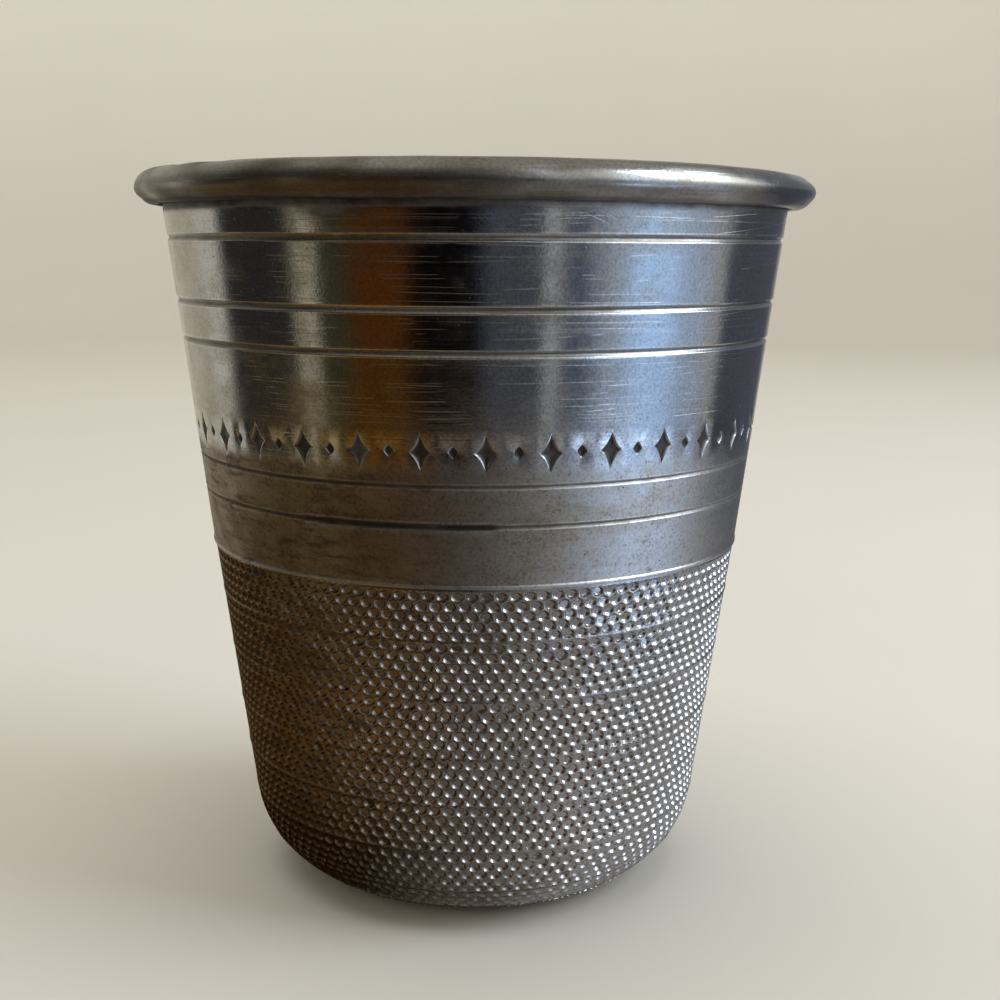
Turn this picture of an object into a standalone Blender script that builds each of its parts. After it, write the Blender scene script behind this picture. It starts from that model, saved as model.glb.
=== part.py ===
"""Thimble-shaped metal spirit measure: a rolled-lip tapered wall on a dimpled, round-shouldered end."""

import math

import bmesh
import bpy

# Overall sizes, in metres
HEIGHT = 0.0540
RIM_DIAMETER = 0.0508

# Sheet, seats and facets
SHEET = 0.0008
SEAT_GAP = 0.00025
SEGMENTS = 64
CHORD_ERROR = 0.00004

# Rolled lip and the wire inside it
LIP_ROLL = 0.0028
LIP_SHEET = 0.0006
LIP_SLIT = 0.0003

# Smooth tapered wall, from the seam up to the neck under the lip
SEAM_DIAMETER = 0.0407
SEAM_HEIGHT = 0.0265

# Scribed lines round the wall
LINES_BELOW_TOP = (0.01196, 0.00922, 0.00479)
LINES_ABOVE_SEAM = (0.00425, 0.00694)
LINE_WIDTH = 0.0005
LINE_DEPTH = 0.0002

# Dimpled end: set a little inside the wall, with a collar that goes up inside it
SEAM_STEP = 0.0001
SHOULDER_RADIUS = 0.0075
FOOT_DIAMETER = 0.0202
FOOT_LEDGE = 0.0018
COLLAR_LENGTH = 0.0040
COLLAR_SHEET = 0.0006

# Base disc and the solder rings
DISC_THICKNESS = 0.0010
SOLDER_RISE = 0.0008

# Finishes: colour, roughness
PEWTER_SMOOTH = ((0.40, 0.39, 0.38), 0.34)
PEWTER_DIMPLED = ((0.33, 0.32, 0.31), 0.42)
PEWTER_BASE = ((0.36, 0.35, 0.34), 0.45)
TINNED_WIRE = ((0.46, 0.45, 0.44), 0.40)
SOFT_SOLDER = ((0.44, 0.44, 0.43), 0.38)

# Heights and radii that follow from the sizes above
NECK_HEIGHT = HEIGHT - LIP_ROLL
NECK_RADIUS = RIM_DIAMETER / 2 - LIP_ROLL + SHEET
WALL_SLOPE = (NECK_RADIUS - SEAM_DIAMETER / 2) / (NECK_HEIGHT - SEAM_HEIGHT)
LIP_RADIUS = LIP_ROLL / 2
LIP_CENTRE = (RIM_DIAMETER / 2 - LIP_RADIUS, HEIGHT - LIP_RADIUS)
LIP_BORE = LIP_RADIUS - LIP_SHEET
FOOT_RADIUS = FOOT_DIAMETER / 2
COLLAR_TOP = SEAM_HEIGHT + COLLAR_LENGTH
SOLDER_TOP = COLLAR_TOP + SEAT_GAP + SOLDER_RISE
DISC_BOTTOM = SHEET + SEAT_GAP
DISC_TOP = DISC_BOTTOM + DISC_THICKNESS


def wall_outside(height):
    """Radius of the smooth wall's outer face at a height."""
    return SEAM_DIAMETER / 2 + WALL_SLOPE * (height - SEAM_HEIGHT)


def wall_inside(height):
    """Radius of the smooth wall's inner face at a height."""
    return wall_outside(height) - SHEET


def arc(centre, radius, start, end):
    """Points on an arc between two angles, both ends included, close enough for the chord error."""
    widest = 2 * math.acos(1 - CHORD_ERROR / radius)
    steps = max(2, math.ceil(abs(end - start) / widest))
    angles = [start + (end - start) * i / steps for i in range(steps + 1)]
    return [(centre[0] + radius * math.cos(a), centre[1] + radius * math.sin(a)) for a in angles]


def metal(name, finish):
    """A metal finish of one colour and roughness."""
    colour, roughness = finish
    material = bpy.data.materials.new(name)
    material.use_nodes = True
    shader = material.node_tree.nodes["Principled BSDF"]
    shader.inputs["Base Color"].default_value = (*colour, 1.0)
    shader.inputs["Metallic"].default_value = 1.0
    shader.inputs["Roughness"].default_value = roughness
    return material


def turned(name, outline, finish, closed=True):
    """A solid of revolution about the Z axis; an open outline starts and ends on the axis."""
    shape = bmesh.new()
    points = [shape.verts.new((r, 0.0, z)) for r, z in outline]
    pairs = list(zip(points, points[1:]))
    if closed:
        pairs.append((points[-1], points[0]))
    edges = [shape.edges.new(pair) for pair in pairs]
    bmesh.ops.spin(
        shape,
        geom=points + edges,
        cent=(0.0, 0.0, 0.0),
        axis=(0.0, 0.0, 1.0),
        angle=math.tau,
        steps=SEGMENTS,
        use_merge=True,
    )
    bmesh.ops.remove_doubles(shape, verts=shape.verts, dist=1e-6)
    bmesh.ops.recalc_face_normals(shape, faces=shape.faces)
    mesh = bpy.data.meshes.new(name)
    shape.to_mesh(mesh)
    shape.free()
    mesh.shade_smooth()
    mesh.set_sharp_from_angle(angle=math.radians(30))
    mesh.materials.append(metal(name, finish))
    piece = bpy.data.objects.new(name, mesh)
    bpy.context.collection.objects.link(piece)
    return piece


def scribed_face():
    """The wall's outer face from the seam to inside the lip, with its scribed lines."""
    heights = [SEAM_HEIGHT + up for up in LINES_ABOVE_SEAM]
    heights += [HEIGHT - down for down in LINES_BELOW_TOP]
    face = [(wall_outside(SEAM_HEIGHT), SEAM_HEIGHT)]
    for height in heights:
        low = height - LINE_WIDTH / 2
        high = height + LINE_WIDTH / 2
        face.append((wall_outside(low), low))
        face.append((wall_outside(height) - LINE_DEPTH, height))
        face.append((wall_outside(high), high))
    return face


def rolled_lip():
    """The curl over the wire: up its bore, round, across the free edge and back over the outside."""
    centre_radius = LIP_CENTRE[0]
    bore_start = math.acos((NECK_RADIUS - centre_radius) / LIP_BORE)
    edge = NECK_RADIUS + LIP_SLIT - centre_radius
    bore_end = -math.acos(edge / LIP_BORE)
    outer_start = -math.acos(edge / LIP_RADIUS)
    bore = arc(LIP_CENTRE, LIP_BORE, math.tau - bore_start, bore_end)
    under = arc(LIP_CENTRE, LIP_RADIUS, outer_start, 0.0)
    over = arc(LIP_CENTRE, LIP_RADIUS, 0.0, math.pi / 2)
    inner = arc(LIP_CENTRE, LIP_RADIUS, math.pi / 2, math.pi)
    return [(NECK_RADIUS, NECK_HEIGHT)] + bore + under[:-1] + over[:-1] + inner


def upper_wall():
    """Tapered wall with its rolled lip, one bent sheet."""
    inside = [(wall_inside(NECK_HEIGHT), NECK_HEIGHT), (wall_inside(SEAM_HEIGHT), SEAM_HEIGHT)]
    return turned("upper_wall", scribed_face() + rolled_lip() + inside, PEWTER_SMOOTH)


def rim_wire():
    """Wire hoop that the lip is rolled over."""
    hoop = arc(LIP_CENTRE, LIP_BORE - SEAT_GAP, 0.0, math.tau)
    return turned("rim_wire", hoop[:-1], TINNED_WIRE)


def shoulder(radius, offset, top):
    """Foot, round shoulder and side up to a point, all offset inward from the outer skin."""
    centre = (FOOT_RADIUS, SHOULDER_RADIUS)
    bend = SHOULDER_RADIUS - offset
    across = radius - centre[0]
    up = top - centre[1]
    tangent = math.atan2(up, across) - math.acos(bend / math.hypot(across, up))
    return arc(centre, bend, -math.pi / 2, tangent) + [(radius, top)]


def dimpled_end():
    """Lower shell with a turned-in foot and a collar that goes up inside the wall."""
    rest = SEAM_HEIGHT - SEAT_GAP
    skin = wall_outside(SEAM_HEIGHT) - SEAM_STEP
    bore = FOOT_RADIUS - FOOT_LEDGE
    outside = [(bore, 0.0)] + shoulder(skin, 0.0, rest)
    collar = [
        (wall_inside(rest) - SEAT_GAP, rest),
        (wall_inside(COLLAR_TOP) - SEAT_GAP, COLLAR_TOP),
        (wall_inside(COLLAR_TOP) - SEAT_GAP - COLLAR_SHEET, COLLAR_TOP),
        (wall_inside(rest) - SEAT_GAP - COLLAR_SHEET, rest - SHEET / 2),
    ]
    inside = shoulder(skin - SHEET, SHEET, rest - 2 * SHEET)
    return turned("dimpled_end", outside + collar + inside[::-1] + [(bore, SHEET)], PEWTER_DIMPLED)


def base_disc():
    """Flat disc seated inside on the turned-in foot."""
    outline = [(0.0, DISC_TOP), (FOOT_RADIUS, DISC_TOP), (FOOT_RADIUS, DISC_BOTTOM), (0.0, DISC_BOTTOM)]
    return turned("base_disc", outline, PEWTER_BASE, closed=False)


def seam_solder():
    """Ring of solder over the collar's top edge, against the wall."""
    low = COLLAR_TOP + SEAT_GAP
    outline = [
        (wall_inside(low) - SEAT_GAP, low),
        (wall_inside(SOLDER_TOP) - SEAT_GAP, SOLDER_TOP),
        (wall_inside(low) - SEAT_GAP - COLLAR_SHEET, low),
    ]
    return turned("seam_solder", outline, SOFT_SOLDER)


def base_solder():
    """Ring of solder in the corner between the base disc and the round shoulder."""
    bend = SHOULDER_RADIUS - SHEET - SEAT_GAP
    low = math.asin((DISC_BOTTOM + SEAT_GAP - SHOULDER_RADIUS) / bend)
    high = math.asin((DISC_TOP - SHOULDER_RADIUS) / bend)
    outer = arc((FOOT_RADIUS, SHOULDER_RADIUS), bend, low, high)
    inner = FOOT_RADIUS + SEAT_GAP
    return turned("base_solder", outer + [(inner, DISC_TOP), (inner, DISC_BOTTOM + SEAT_GAP)], SOFT_SOLDER)


def build():
    """Clear the scene and put the whole cup on one empty, its foot at height zero."""
    for old in list(bpy.data.objects):
        bpy.data.objects.remove(old)
    cup = bpy.data.objects.new("cup", None)
    bpy.context.collection.objects.link(cup)
    for make in (upper_wall, rim_wire, dimpled_end, base_disc, seam_solder, base_solder):
        make().parent = cup


build()
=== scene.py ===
"""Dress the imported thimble-shaped spirit measure: worn pewter, scribed lines, a punched border, struck dimples."""

import logging
import math
from dataclasses import dataclass
from enum import Enum
from functools import reduce
from typing import Any, Callable, Sequence

import bmesh
import bpy
import numpy as np
from mathutils import Matrix, Vector


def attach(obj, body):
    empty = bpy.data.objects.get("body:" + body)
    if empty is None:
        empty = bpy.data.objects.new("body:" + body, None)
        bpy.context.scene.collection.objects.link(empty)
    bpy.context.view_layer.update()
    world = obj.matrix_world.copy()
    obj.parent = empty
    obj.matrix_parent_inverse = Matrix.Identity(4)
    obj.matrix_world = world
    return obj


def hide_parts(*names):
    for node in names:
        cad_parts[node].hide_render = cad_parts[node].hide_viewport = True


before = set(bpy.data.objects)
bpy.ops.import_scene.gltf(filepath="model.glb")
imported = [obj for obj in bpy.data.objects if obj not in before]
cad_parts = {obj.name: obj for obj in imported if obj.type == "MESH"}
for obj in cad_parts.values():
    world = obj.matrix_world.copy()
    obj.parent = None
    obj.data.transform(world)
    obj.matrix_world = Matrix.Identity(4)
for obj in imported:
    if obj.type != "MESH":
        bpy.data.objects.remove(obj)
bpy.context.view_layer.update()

LOG = logging.getLogger("spirit_measure")
Array = np.ndarray
Loop = tuple[Array, Array]  # a closed loop's point indices and their angles, by rising angle
Colour = tuple[float, float, float]
Place = tuple[float, float, float]
TAU = math.tau
BLACK: Colour = (0.0, 0.0, 0.0)
UPRIGHT: Place = (0.0, 0.0, 0.0)


class Slot(Enum):
    """Finish slots of the record, passed along with each new piece."""

    SMOOTH = "smooth_pewter"
    DIMPLED = "dimpled_pewter"
    BASE = "base_pewter"
    SOLDER = "soft_solder"


class Mark(Enum):
    """Point attributes that the finishes read: film lies in hollows and is also painted shade under the lip and on
    the left; wear shines on edges and is also painted light inside the cup; patina browns and is also painted shade
    on the left.
    """

    FILM_AND_SHADE = "film_and_shade"
    WEAR_AND_LIGHT = "wear_and_light"
    PATINA_AND_SHADE = "patina_and_shade"


@dataclass(frozen=True)
class CupSizes:
    """Main sizes of the cup in metres, the same as the solids have."""

    height: float = 0.0540
    rim_radius: float = 0.0254
    sheet: float = 0.0008
    seat_gap: float = 0.00025
    lip_radius: float = 0.0014
    lip_sheet: float = 0.0006
    lip_slit: float = 0.0003
    seam_radius: float = 0.02035
    seam_height: float = 0.0265
    seam_step: float = 0.0001
    shoulder_radius: float = 0.0075
    foot_radius: float = 0.0101
    foot_ledge: float = 0.0018
    collar_length: float = 0.0040
    collar_sheet: float = 0.0006
    disc_thickness: float = 0.0010
    solder_rise: float = 0.0008

    @property
    def neck_height(self) -> float:
        """Height of the neck under the rolled lip."""
        return self.height - 2 * self.lip_radius

    @property
    def neck_radius(self) -> float:
        """Outer radius of the wall at the neck."""
        return self.rim_radius - 2 * self.lip_radius + self.sheet

    @property
    def slope(self) -> float:
        """Outward lean of the smooth wall per unit of height."""
        return (self.neck_radius - self.seam_radius) / (self.neck_height - self.seam_height)

    @property
    def collar_top(self) -> float:
        """Height of the collar's top edge."""
        return self.seam_height + self.collar_length

    @property
    def disc_bottom(self) -> float:
        """Height of the base disc's underside."""
        return self.sheet + self.seat_gap

    def wall(self, height: Any) -> Any:
        """Radius of the smooth wall's outer face at a height or an array of heights."""
        return self.seam_radius + self.slope * (height - self.seam_height)


def polar(radius: Array, angle: Array, height: Array) -> Array:
    """Points from radius, angle and height; angle 0 faces the viewer (-Y) and grows towards +X.

    Args:
        radius: Distances from the axis.
        angle: Angles in radians.
        height: Heights above the foot.

    Returns:
        Points with a last axis of three.
    """
    radius, angle, height = np.broadcast_arrays(radius, angle, height)
    return np.stack([radius * np.sin(angle), -radius * np.cos(angle), height], axis=-1)


def ripple(angle: Array, along: Array, seed: int, waves: int = 12, turns: int = 24, pitch: float = 900.0) -> Array:
    """A smooth uneven field about -1 to 1: a sum of cosines of whole turns round the axis and of the path.

    Args:
        angle: Angles round the axis.
        along: Distances along the path, in metres.
        seed: Seed of the draw.
        waves: How many cosines are summed.
        turns: Most whole waves round the axis.
        pitch: Largest wave number along the path, per metre.

    Returns:
        The field on the broadcast grid.
    """
    draw = np.random.default_rng(seed)
    count = draw.integers(1, turns + 1, waves)
    rise = draw.uniform(-pitch, pitch, waves)
    start = draw.uniform(0.0, TAU, waves)
    size = draw.uniform(0.5, 1.0, waves)
    angle, along = np.broadcast_arrays(angle, along)
    parts = np.cos(angle[..., None] * count + along[..., None] * rise + start) * size
    return parts.sum(axis=-1) / math.sqrt(waves)


def superellipse(turn: Array, width: Array, height: Array, power: Array) -> Array:
    """Polar radius of |x/width|^power + |y/height|^power = 1: below one a star, one a lozenge, two an oval.

    Args:
        turn: Directions from the centre.
        width: Half widths.
        height: Half heights.
        power: Exponents.

    Returns:
        Radii in the given directions.
    """
    across = np.abs(np.cos(turn) / width) ** power
    upright = np.abs(np.sin(turn) / height) ** power
    return (across + upright) ** (-1.0 / power)


def ease(value: Array, low: float, high: float) -> Array:
    """Smooth step, 3t^2 - 2t^3, from 0 at low to 1 at high; low may be the larger."""
    t = np.clip((value - low) / (high - low), 0.0, 1.0)
    return t * t * (3.0 - 2.0 * t)


def hump(value: Array, middle: float, half: float, power: int = 2) -> Array:
    """Bell, exp(-((value - middle) / half)^power); a larger even power makes its top flatter."""
    return np.exp(-(((value - middle) / half) ** power))


def turns(columns: int) -> Array:
    """Column angles, from the back round to the back."""
    return -math.pi + TAU * np.arange(columns) / columns


class Shell:
    """Points, faces and marks of one piece, gathered as whole arrays and written to one mesh."""

    def __init__(self) -> None:
        """Start with no points."""
        self.points: list[Array] = []
        self.marks: list[Array] = []
        self.crisp: list[Array] = []
        self.faces: list[Array] = []
        self.count = 0

    def add(self, points: Array, film_and_shade: Any = 0.0, wear_and_light: Any = 0.0, patina_and_shade: Any = 0.0, crisp: bool = False) -> Array:
        """Keep points and their marks.

        Args:
            points: Points with a last axis of three.
            film_and_shade: How dark each point is, from film in hollows and from painted shade.
            wear_and_light: How bright each point is, from rubbing and from painted light.
            patina_and_shade: How brown each point has gone, from patina and from painted shade.
            crisp: Whether edges between these points are sharp.

        Returns:
            The points' indices, shaped like the leading axes.
        """
        shape = points.shape[:-1]
        size = math.prod(shape)
        marks = [np.broadcast_to(np.asarray(value, float), shape).reshape(-1) for value in (film_and_shade, wear_and_light, patina_and_shade)]
        self.points.append(points.reshape(-1, 3))
        self.marks.append(np.stack(marks, axis=-1))
        self.crisp.append(np.full(size, crisp))
        self.count += size
        return np.arange(self.count - size, self.count).reshape(shape)

    def strip(self, lower: Array, upper: Array) -> None:
        """Quads between two closed loops, or two stacks of loops, of equal counts."""
        corners = [lower, np.roll(lower, -1, -1), np.roll(upper, -1, -1), upper]
        self.faces.append(np.stack(corners, axis=-1).reshape(-1, 4))

    def grid(self, rows: Array) -> None:
        """Quads over rows of closed loops."""
        self.strip(rows[:-1], rows[1:])

    def fan(self, loops: Array, centres: Array) -> None:
        """Triangles from closed loops to their centre points."""
        apex = np.broadcast_to(np.asarray(centres)[..., None], loops.shape)
        self.faces.append(np.stack([loops, np.roll(loops, -1, -1), apex], axis=-1).reshape(-1, 3))

    def cells(self, border: Array, rings: Sequence[Array], centres: Array) -> None:
        """Cells tiled side by side: from each shared border through its rings to a fan at its centre.

        Args:
            border: Indices of each cell's edge loop.
            rings: Indices of its rings, from outside in.
            centres: Indices of its centre points.
        """
        loops = [border, *rings]
        for outer, inner in zip(loops, loops[1:]):
            self.strip(outer, inner)
        self.fan(loops[-1], centres)

    def stitch(self, first: Loop, second: Loop) -> None:
        """Triangles between loops of unlike counts: each edge takes the other loop's point reached by its middle.

        Args:
            first: One loop.
            second: The other loop.
        """
        one, two = first[0], second[0]
        middle = [a + np.diff(a, append=a[0] + TAU) / 2 for _, a in (first, second)]
        reach = np.searchsorted(middle[1], middle[0], side="left") % len(two)
        back = np.searchsorted(middle[0], middle[1], side="right") % len(one)
        self.faces.append(np.stack([one, np.roll(one, -1), two[reach]], axis=-1))
        self.faces.append(np.stack([np.roll(two, -1), two, one[back]], axis=-1))

    def build(self, name: str, crease: float) -> bpy.types.Object:
        """Write the mesh, face it outward and link it.

        Args:
            name: The piece's name.
            crease: Angle in degrees past which an edge is sharp.

        Returns:
            The new object.
        """
        mesh = bpy.data.meshes.new(name)
        points = np.concatenate(self.points)
        loops = np.concatenate([faces.ravel() for faces in self.faces]).astype(np.int32)
        sides = np.concatenate([np.full(len(faces), faces.shape[1]) for faces in self.faces])
        starts = np.concatenate([[0], np.cumsum(sides)[:-1]]).astype(np.int32)
        mesh.vertices.add(len(points))
        mesh.vertices.foreach_set("co", points.astype(np.float32).ravel())
        mesh.loops.add(len(loops))
        mesh.loops.foreach_set("vertex_index", loops)
        mesh.polygons.add(len(sides))
        mesh.polygons.foreach_set("loop_start", starts)
        mesh.update(calc_edges=True)
        work = bmesh.new()
        work.from_mesh(mesh)
        bmesh.ops.recalc_face_normals(work, faces=work.faces)
        work.to_mesh(mesh)
        work.free()
        marks = np.concatenate(self.marks).astype(np.float32)
        for column, mark in enumerate(Mark):
            layer = mesh.attributes.new(mark.value, "FLOAT", "POINT")
            layer.data.foreach_set("value", np.ascontiguousarray(marks[:, column]))
        mesh.shade_smooth()
        mesh.set_sharp_from_angle(angle=math.radians(crease))
        ends = np.empty(2 * len(mesh.edges), np.int32)
        mesh.edges.foreach_get("vertices", ends)
        sharp = np.empty(len(mesh.edges), bool)
        mesh.edges.foreach_get("use_edge_sharp", sharp)
        sharp |= np.concatenate(self.crisp)[ends.reshape(-1, 2)].all(axis=1)
        mesh.edges.foreach_set("use_edge_sharp", sharp)
        piece = bpy.data.objects.new(name, mesh)
        bpy.context.collection.objects.link(piece)
        LOG.info("%s: %d points, %d triangles", name, len(points), int((sides - 2).sum()))
        return piece


def maths(operation: str, swap: bool = False) -> Callable[["Sock", Any], "Sock"]:
    """A method that adds one Math node on a socket and another value, in that order or swapped.

    Args:
        operation: The node's operation.
        swap: Whether the other value comes first.

    Returns:
        The method.
    """

    def joined(sock: "Sock", other: Any) -> "Sock":
        """The Math node's output."""
        terms = (other, sock) if swap else (sock, other)
        return sock.graph.node("ShaderNodeMath", {"operation": operation}, dict(enumerate(terms)))

    return joined


class Sock:
    """A shader socket with arithmetic: each operator adds one Math node to its graph."""

    def __init__(self, graph: "Graph", socket: bpy.types.NodeSocket) -> None:
        """Wrap an output socket of a graph."""
        self.graph = graph
        self.socket = socket

    __add__ = __radd__ = maths("ADD")
    __sub__ = maths("SUBTRACT")
    __rsub__ = maths("SUBTRACT", swap=True)
    __mul__ = __rmul__ = maths("MULTIPLY")
    __truediv__ = maths("DIVIDE")
    __pow__ = maths("POWER")
    most = maths("MAXIMUM")
    least = maths("MINIMUM")

    def __abs__(self) -> "Sock":
        """Size without sign."""
        return self.graph.node("ShaderNodeMath", {"operation": "ABSOLUTE"}, {0: self})

    def rise(self, low: float, high: float) -> "Sock":
        """Smooth step from 0 at low to 1 at high; low may be the larger.

        Args:
            low: Value at which it is 0.
            high: Value at which it is 1.

        Returns:
            The stepped value.
        """
        ends = {"From Min": min(low, high), "From Max": max(low, high)}
        ends.update({"To Min": 0.0 if low < high else 1.0, "To Max": 1.0 if low < high else 0.0})
        return self.graph.node("ShaderNodeMapRange", {"interpolation_type": "SMOOTHSTEP"}, {"Value": self, **ends})


class Graph:
    """The node tree of one material, built by plain calls."""

    def __init__(self, name: str) -> None:
        """Make a material with an empty tree and its shader.

        Args:
            name: The material's name.
        """
        self.material = bpy.data.materials.new(name)
        self.material.use_nodes = True
        self.tree = self.material.node_tree
        self.shader = self.tree.nodes["Principled BSDF"]

    def node(self, kind: str, settings: dict[str, Any], inputs: dict[Any, Any], output: Any = 0) -> Sock:
        """Add one node.

        Args:
            kind: The node's type name.
            settings: Its own properties, set first; stops gives a ramp's (place, colour) pairs.
            inputs: Values or sockets by input name or number.
            output: Name or number of the output wanted.

        Returns:
            That output.
        """
        made = self.tree.nodes.new(kind)
        for key, value in settings.items():
            if key == "stops":
                self.ramp(made.color_ramp.elements, value)
            else:
                setattr(made, key, value)
        for key, value in inputs.items():
            self.feed(made.inputs[key], value)
        return Sock(self, made.outputs[output])

    def ramp(self, elements: Any, stops: Sequence[tuple[float, Colour]]) -> None:
        """Set a ramp's stops, given by rising place.

        Args:
            elements: The ramp's elements.
            stops: Places and their colours.
        """
        while len(elements) < len(stops):
            elements.new(0.5)
        for element, (place, colour) in zip(elements, stops):
            element.position = place
            element.color = (*colour, 1.0)

    def feed(self, target: bpy.types.NodeSocket, value: Any) -> None:
        """Link a socket, or set a plain value, on an input.

        Args:
            target: The input.
            value: A socket, a colour or a number.
        """
        if isinstance(value, Sock):
            self.tree.links.new(value.socket, target)
        elif isinstance(value, tuple) and target.type == "RGBA":
            target.default_value = (*value[:3], 1.0)
        else:
            target.default_value = value

    def place(self, scale: Place, turn: Place = UPRIGHT) -> Sock:
        """Object coordinates, turned and then scaled."""
        sized = {"Vector": self.spot(), "Rotation": turn, "Scale": tuple(1.0 / part for part in scale)}
        return self.node("ShaderNodeMapping", {"vector_type": "TEXTURE"}, sized)

    def noise(self, scale: Place, detail: float, rough: float, warp: float = 0.0, turn: Place = UPRIGHT) -> Sock:
        """Noise with so many waves per metre along each axis, turned."""
        inputs = {"Scale": 1.0, "Detail": detail, "Roughness": rough, "Distortion": warp}
        return self.node("ShaderNodeTexNoise", {}, {"Vector": self.place(scale, turn), **inputs})

    def spots(self, place: Sock, output: str) -> Sock:
        """Nearest-point cells of unit size: Distance to the point, or the cell's random Color."""
        return self.node("ShaderNodeTexVoronoi", {"feature": "F1"}, {"Vector": place, "Scale": 1.0}, output)

    def mark(self, mark: Mark) -> Sock:
        """A point attribute of the piece."""
        return self.node("ShaderNodeAttribute", {"attribute_name": mark.value}, {}, "Fac")

    def mix(self, factor: Any, first: Any, second: Any, blend: str = "MIX") -> Sock:
        """Blend two colours."""
        settings = {"data_type": "RGBA", "blend_type": blend, "clamp_factor": True}
        return self.node("ShaderNodeMix", settings, {0: factor, 6: first, 7: second}, 2)

    def spot(self) -> Sock:
        """Object coordinates."""
        return self.node("ShaderNodeTexCoord", {}, {}, "Object")

    def axis(self, name: str) -> Sock:
        """One object coordinate: X, Y, or Z for the height above the foot."""
        return self.node("ShaderNodeSeparateXYZ", {}, {"Vector": self.spot()}, name)

    def set(self, **values: Any) -> None:
        """Set or link the shader's inputs, named with _ for each space."""
        for name, value in values.items():
            self.feed(self.shader.inputs[name.replace("_", " ")], value)


@dataclass(frozen=True)
class Pewter:
    """Worn pewter: clean and dull tones, dark film in hollows and painted shade, brown patina with painted shade,
    turning lines, pits, specks and scratches.

    A pit size is its points per metre and its reach; a run of scratches is its tip, its lines per metre and the
    noise level above which it is kept.
    """

    name: str
    clean: Colour = (0.51, 0.50, 0.485)
    dull: Colour = (0.33, 0.288, 0.233)
    # Dark tone of film in hollows, also used for painted shade.
    film_and_shade: Colour = (0.030, 0.024, 0.018)
    bright: Colour = (0.64, 0.63, 0.61)
    # Brown of the patina, also used for painted shade on the left.
    brown: Colour = (0.22, 0.150, 0.062)
    gloss: float = 0.14
    satin: float = 0.34
    brushed: float = 0.6
    satin_below: float = 0.0335
    satin_fade: float = 0.0028
    line_relief: float = 0.5
    pit_share: float = 0.16
    scratch_weight: float = 0.5
    tarnish_rough: float = 0.20
    relief: float = 0.000012
    bump: float = 0.55
    roughest: float = 0.85
    smoothest: float = 0.08
    pit_sizes: tuple[tuple[float, float], ...] = ((1250.0, 0.11), (2900.0, 0.17))
    scratch_runs: tuple[tuple[float, float, float], ...] = (
        (0.00, 2300.0, 0.50),
        (0.05, 1700.0, 0.56),
        (-0.40, 1200.0, 0.70),
        (0.70, 1300.0, 0.71),
    )

    def material(self) -> bpy.types.Material:
        """Build the finish's node tree.

        Returns:
            The new material.
        """
        g = Graph(self.name)
        # The film, patina and wear marks also carry painted shade and painted light set on the pieces.
        film_and_shade = g.mark(Mark.FILM_AND_SHADE)
        wear_and_light = g.mark(Mark.WEAR_AND_LIGHT)
        cloud = g.noise((130.0, 130.0, 130.0), 4.0, 0.6, 0.4)
        mottle = g.noise((620.0, 620.0, 620.0), 3.0, 0.6)
        grain = g.noise((5200.0, 5200.0, 5200.0), 2.0, 0.6)
        fine_lines = g.noise((70.0, 70.0, 11000.0), 2.0, 0.6)
        broad_lines = g.noise((38.0, 38.0, 2300.0), 3.0, 0.6)
        streaks = g.noise((260.0, 260.0, 1300.0), 5.0, 0.68, 0.5)
        # Brown patina, and painted shade on the left side and under the lip.
        tarnish_and_shade = g.mark(Mark.PATINA_AND_SHADE)
        pits = self.pits(g)
        satin = g.axis("Z").rise(self.satin_below + self.satin_fade, self.satin_below)
        scratches = self.scratches(g) * (1.0 - 0.85 * satin)
        stain = (cloud + 0.35 * mottle).rise(0.62, 0.86)
        dullness = (0.15 + 0.55 * stain + 0.10 * satin + 0.25 * (broad_lines - 0.5)).most(0.0).least(1.0)
        tone = g.mix(dullness, self.clean, self.dull)
        tone = g.mix((tarnish_and_shade * (0.10 + 1.1 * streaks + 0.7 * mottle)).least(1.0), tone, self.brown)
        tone = g.mix(wear_and_light * 0.75, tone, self.bright)
        tone = g.mix(0.20 * grain.rise(0.40, 0.62), tone, self.film_and_shade)
        tone = g.mix(scratches * self.scratch_weight * 0.5, tone, self.bright)
        speck = (grain + 0.6 * mottle).rise(0.86, 1.06) * (0.12 + 0.24 * satin)
        dark = (film_and_shade * (0.75 + 0.5 * mottle)).least(1.0)
        scuffs = g.noise((900.0, 900.0, 2600.0), 3.0, 0.7, 1.0, (0.35, 0.25, 0.0))
        dark = dark.most(0.85 * tarnish_and_shade * (0.65 * streaks + 0.35 * scuffs).rise(0.50, 0.64))
        tone = g.mix(dark.most(pits * 0.85).most(speck), tone, self.film_and_shade)
        rough = self.gloss + (self.satin - self.gloss) * satin + 0.10 * stain + 0.10 * (fine_lines - 0.5)
        rough = rough + 0.12 * (mottle - 0.5) + 0.30 * dark - 0.05 * wear_and_light + self.tarnish_rough * tarnish_and_shade
        relief = self.line_relief * (0.6 * fine_lines + 0.4 * broad_lines) + 0.5 * satin * grain
        relief = relief + 0.70 * grain + 0.6 * mottle + 2.4 * tarnish_and_shade * streaks
        relief = relief - 1.2 * pits - 1.6 * scratches * self.scratch_weight
        bump = {"Strength": self.bump, "Distance": self.relief, "Height": relief}
        g.set(Base_Color=tone, Roughness=rough.most(self.smoothest).least(self.roughest))
        g.set(Metallic=1.0 - 0.55 * dark.rise(0.35, 1.0), Normal=g.node("ShaderNodeBump", {}, bump, "Normal"))
        g.set(Anisotropic=self.brushed, Anisotropic_Rotation=0.25)
        return g.material

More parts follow.
